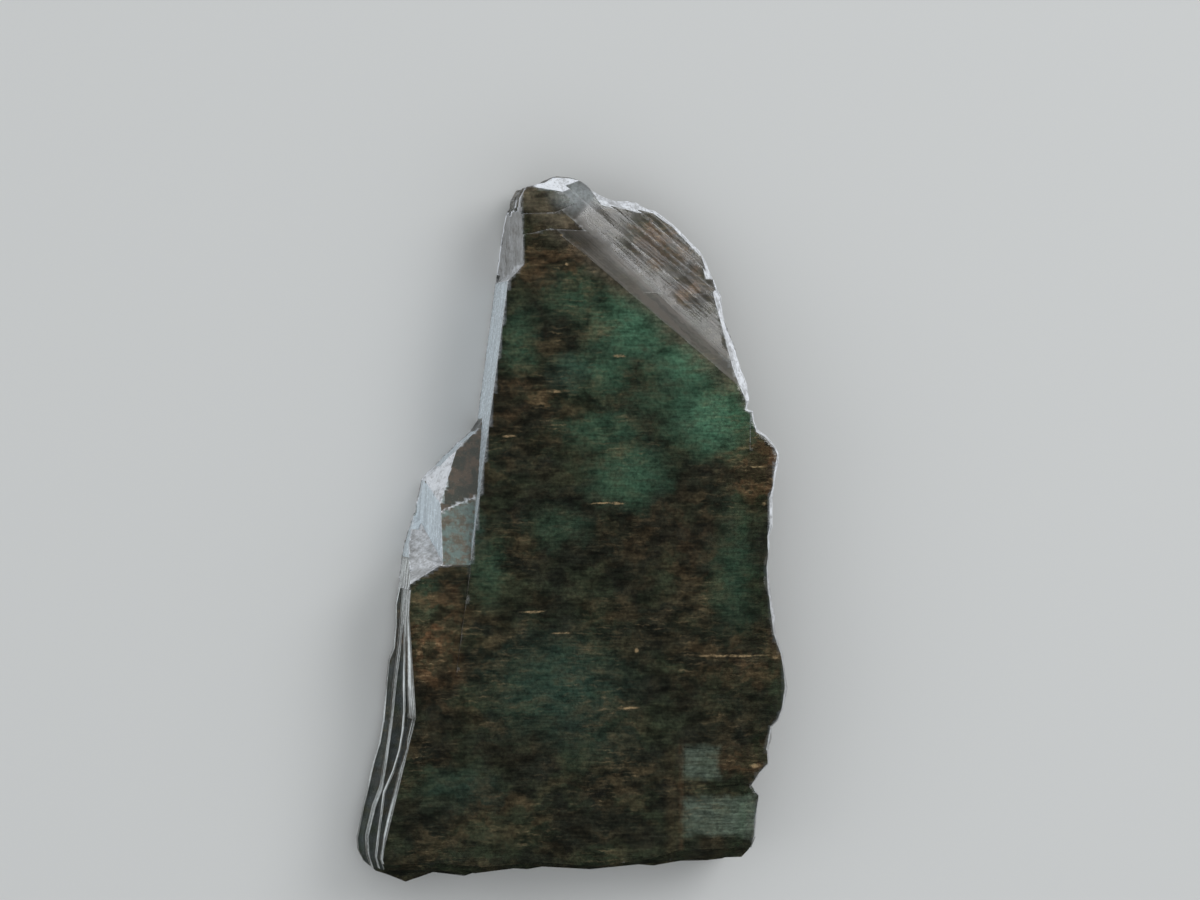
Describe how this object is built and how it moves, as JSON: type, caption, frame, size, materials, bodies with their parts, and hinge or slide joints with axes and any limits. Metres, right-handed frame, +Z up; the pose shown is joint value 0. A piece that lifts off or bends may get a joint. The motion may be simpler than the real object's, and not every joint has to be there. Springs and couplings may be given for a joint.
{
  "type": "vivianite crystal",
  "caption": "Loose vivianite crystal: a dark green, faceted blade with a bevelled tip, a stepped side and a broad flat back that it lies on.",
  "frame": {"origin": "on the supporting surface, under the middle of the crystal's bounding box as it lies on its broad back face", "axes": "+Y along the crystal's length, towards its bevelled tip; +Z up, out of the broad front face; +X to the right as the front face is seen with the tip up"},
  "size_m": [0.0206, 0.034, 0.0042],
  "materials": {
    "vivianite": "gloss"
  },
  "bodies": {
    "root": {"vivianite_crystal": "vivianite"}
  },
  "joints": []
}
